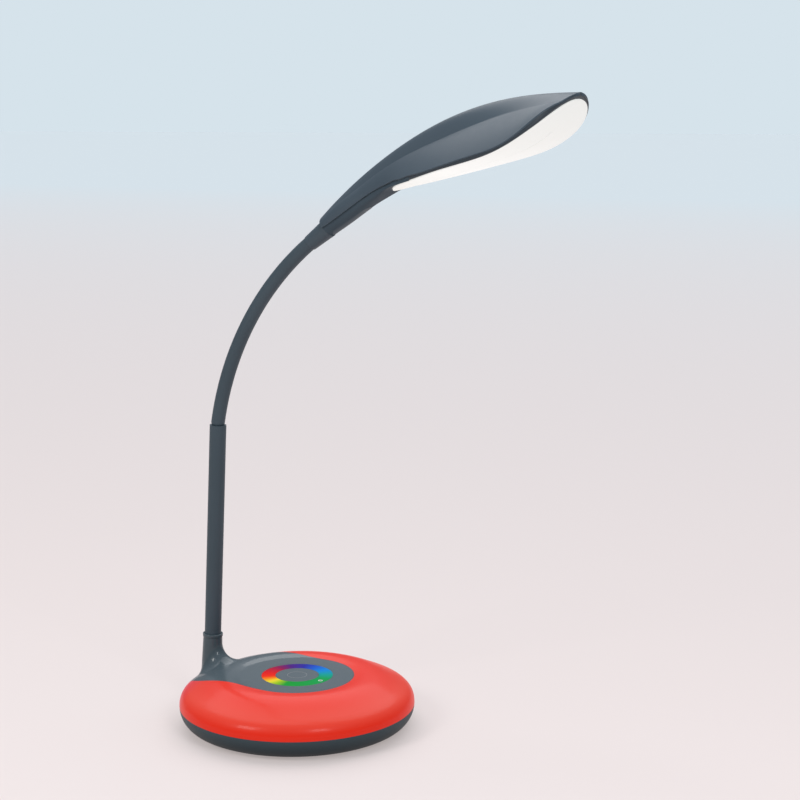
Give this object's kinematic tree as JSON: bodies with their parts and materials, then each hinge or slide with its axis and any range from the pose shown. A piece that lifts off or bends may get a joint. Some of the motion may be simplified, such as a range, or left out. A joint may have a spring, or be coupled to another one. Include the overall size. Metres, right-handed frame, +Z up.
{
  "type": "gooseneck desk lamp",
  "caption": "Gooseneck desk lamp: round weighted base with a glowing mood-light ring and touch colour wheel, upright tube, flexible neck and a leaf-shaped light panel.",
  "frame": {"origin": "centre of the round base, on the surface it stands on", "axes": "+Z up, +X the way the head reaches, the neck stands at the rear of the base towards -X; symmetric about the XZ plane"},
  "size_m": [0.3289, 0.185, 0.4896],
  "materials": {
    "gloss_shell": "satin",
    "satin_black": "satin",
    "dark_tray": "satin",
    "mood_red": "translucent",
    "lamp_white": "frosted",
    "clear_guide": "clear",
    "rainbow": "printed",
    "neck_rubber": "satin",
    "neck_steel": "brushed",
    "plated": "zinc plated",
    "ballast_iron": "painted",
    "pad_rubber": "matte",
    "board_green": "solder mask",
    "board_white": "solder mask",
    "chip_black": "moulded",
    "led_yellow": "phosphor",
    "lead_black": "matte",
    "grey_moulding": "moulded",
    "foam": "conductive foam",
    "contact": "nickel plated"
  },
  "bodies": {
    "base": {"base_tray": "dark_tray", "foot_pad": "pad_rubber", "ballast_plate": "ballast_iron", "ballast_screws": "plated", "cover_screws": "plated", "top_cover": "gloss_shell", "mood_diffuser": "mood_red", "colour_ring": "rainbow", "mood_frame": "grey_moulding", "mood_led_strip": "board_white", "mood_leds": "led_yellow", "control_board": "board_green", "board_screws": "plated", "touch_pads": "foam", "board_parts": "chip_black", "dc_jack": "satin_black", "dc_pin": "contact", "inlet_board": "board_green", "inlet_lead": "lead_black", "lower_lead": "lead_black", "seat_ring": "gloss_shell", "neck_ferrule": "neck_steel", "neck_washer": "plated", "neck_nut": "plated", "neck_tube": "neck_steel", "tube_sleeve": "neck_rubber", "mouth_bush": "neck_rubber"},
    "neck_1": {"goose_sleeve_1": "neck_rubber", "goose_core_1": "neck_steel"},
    "neck_2": {"goose_sleeve_2": "neck_rubber", "goose_core_2": "neck_steel"},
    "neck_3": {"goose_sleeve_3": "neck_rubber", "goose_core_3": "neck_steel"},
    "neck_4": {"goose_sleeve_4": "neck_rubber", "goose_core_4": "neck_steel"},
    "neck_5": {"goose_sleeve_5": "neck_rubber", "goose_core_5": "neck_steel"},
    "neck_6": {"goose_sleeve_6": "neck_rubber", "goose_core_6": "neck_steel"},
    "neck_7": {"goose_sleeve_7": "neck_rubber", "goose_core_7": "neck_steel"},
    "head": {"head_collar": "neck_rubber", "neck_end": "neck_steel", "neck_clamp": "grey_moulding", "clamp_screws": "plated", "head_top_shell": "gloss_shell", "head_bezel": "gloss_shell", "lamp_diffuser": "lamp_white", "light_guide": "clear_guide", "led_board": "board_white", "white_leds": "led_yellow", "led_board_screws": "plated", "led_plug": "grey_moulding", "head_lead": "lead_black", "stem_cover": "gloss_shell"}
  },
  "joints": [
    {"name": "neck_bend_1", "type": "hinge", "parent": "base", "child": "neck_1", "pos_m": [-0.07251, 0, 0.23529], "axis": [0, 1, 0], "range_deg": [-25, 18]},
    {"name": "neck_sway_2", "type": "hinge", "parent": "neck_1", "child": "neck_2", "pos_m": [-0.06698, 0, 0.25891], "axis": [0.9604, 0, -0.2785], "range_deg": [-20, 20]},
    {"name": "neck_bend_3", "type": "hinge", "parent": "neck_2", "child": "neck_3", "pos_m": [-0.05901, 0, 0.28183], "axis": [0, 1, 0], "range_deg": [-25, 18]},
    {"name": "neck_sway_4", "type": "hinge", "parent": "neck_3", "child": "neck_4", "pos_m": [-0.04871, 0, 0.30379], "axis": [0.882, 0, -0.4712], "range_deg": [-20, 20]},
    {"name": "neck_bend_5", "type": "hinge", "parent": "neck_4", "child": "neck_5", "pos_m": [-0.03618, 0, 0.32457], "axis": [0, 1, 0], "range_deg": [-25, 18]},
    {"name": "neck_sway_6", "type": "hinge", "parent": "neck_5", "child": "neck_6", "pos_m": [-0.02155, 0, 0.34393], "axis": [0.7654, 0, -0.6436], "range_deg": [-20, 20]},
    {"name": "neck_bend_7", "type": "hinge", "parent": "neck_6", "child": "neck_7", "pos_m": [-0.00499, 0, 0.36166], "axis": [0, 1, 0], "range_deg": [-25, 18]},
    {"name": "neck_sway_8", "type": "hinge", "parent": "neck_7", "child": "head", "pos_m": [0.01332, 0, 0.37757], "axis": [0.6157, 0, -0.788], "range_deg": [-20, 20]}
  ]
}
